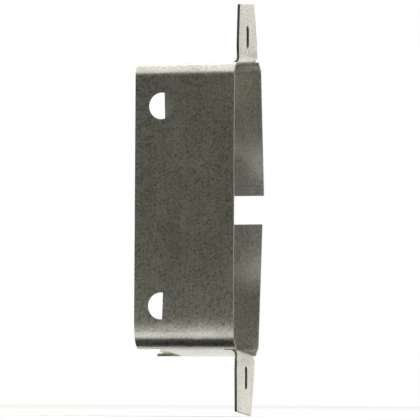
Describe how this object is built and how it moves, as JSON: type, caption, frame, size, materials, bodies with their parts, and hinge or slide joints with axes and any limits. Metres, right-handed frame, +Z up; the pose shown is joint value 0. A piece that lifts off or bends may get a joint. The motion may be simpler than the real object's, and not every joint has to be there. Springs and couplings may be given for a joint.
{
  "type": "electric door strike",
  "caption": "Electric door strike: open sheet-steel housing with jamb ears, ramp-release keeper, and a solenoid that lifts a lever to lock the keeper's tail.",
  "frame": {"origin": "centre of the two jamb screw slots, on the front plane of the ears", "axes": "+X out of the door jamb, along the jamb screws; +Y across the strike, away from its closed side panel; +Z up, along the line of the two slots"},
  "size_m": [0.0312, 0.0321, 0.1255],
  "materials": {
    "housing_steel": "bare cold-rolled stainless strip, mottled mill finish",
    "chassis_steel": "zinc-plated formed sheet",
    "screw_steel": "bright zinc-plated machine screws",
    "cast_steel": "investment-cast steel, tumbled",
    "keeper_steel": "hardened steel, worked face polished by the latch",
    "pin_steel": "ground steel",
    "clip_steel": "blackened spring steel",
    "spring_steel": "drawn spring wire",
    "frame_steel": "yellow-passivated zinc on soft iron",
    "bobbin_plastic": "glass-filled nylon",
    "copper_wire": "enamelled copper wire",
    "coil_tape": "amber polyester tape",
    "block_plastic": "dark green polyamide",
    "clamp_brass": "nickel-flashed brass",
    "lead_insulation": "PVC insulated lead"
  },
  "bodies": {
    "strike_body": {"housing": "housing_steel", "chassis_bracket": "chassis_steel", "chassis_screws": "screw_steel", "upper_ramp": "cast_steel", "lower_ramp": "cast_steel", "ramp_screws": "screw_steel", "keeper_pin": "pin_steel", "keeper_pin_clips": "clip_steel", "pocket_back": "chassis_steel", "pocket_back_screws": "screw_steel", "solenoid_frame": "frame_steel", "solenoid_end_plate": "frame_steel", "coil_bobbin": "bobbin_plastic", "coil_winding": "copper_wire", "coil_tape": "coil_tape", "plunger_stop": "pin_steel", "solenoid_screws": "screw_steel", "lever_pin": "pin_steel", "lever_pin_clip": "clip_steel", "terminal_block": "block_plastic", "terminal_clamps": "clamp_brass", "terminal_screws": "screw_steel", "terminal_block_rivet": "pin_steel", "coil_leads": "lead_insulation", "keeper_spring": "spring_steel", "plunger_spring": "spring_steel"},
    "keeper_body": {"keeper": "keeper_steel"},
    "plunger_body": {"plunger": "pin_steel", "plunger_clip": "clip_steel", "link_pin": "pin_steel"},
    "lever_body": {"locking_lever": "keeper_steel"}
  },
  "joints": [
    {"name": "keeper_swing", "type": "hinge", "parent": "strike_body", "child": "keeper_body", "pos_m": [-0.016, -0.008, 0], "axis": [0, 0, -1], "range_deg": [0, 35], "stiffness_Nm_per_rad": 0.02, "springref_deg": -34.38, "deforming": ["keeper_spring"]},
    {"name": "plunger_slide", "type": "slide", "parent": "strike_body", "child": "plunger_body", "axis": [0, 0, 1], "range_m": [0, 0.00105], "stiffness_N_per_m": 120, "springref_m": -0.003, "deforming": ["plunger_spring"]},
    {"name": "lever_rock", "type": "hinge", "parent": "strike_body", "child": "lever_body", "pos_m": [0, 0.0108, -0.0228], "axis": [-1, 0, 0], "range_deg": [0, 10.03]}
  ],
  "couplings": [
    {"joint": "lever_rock", "follows": "plunger_slide", "rad_per_m": 166.67}
  ]
}
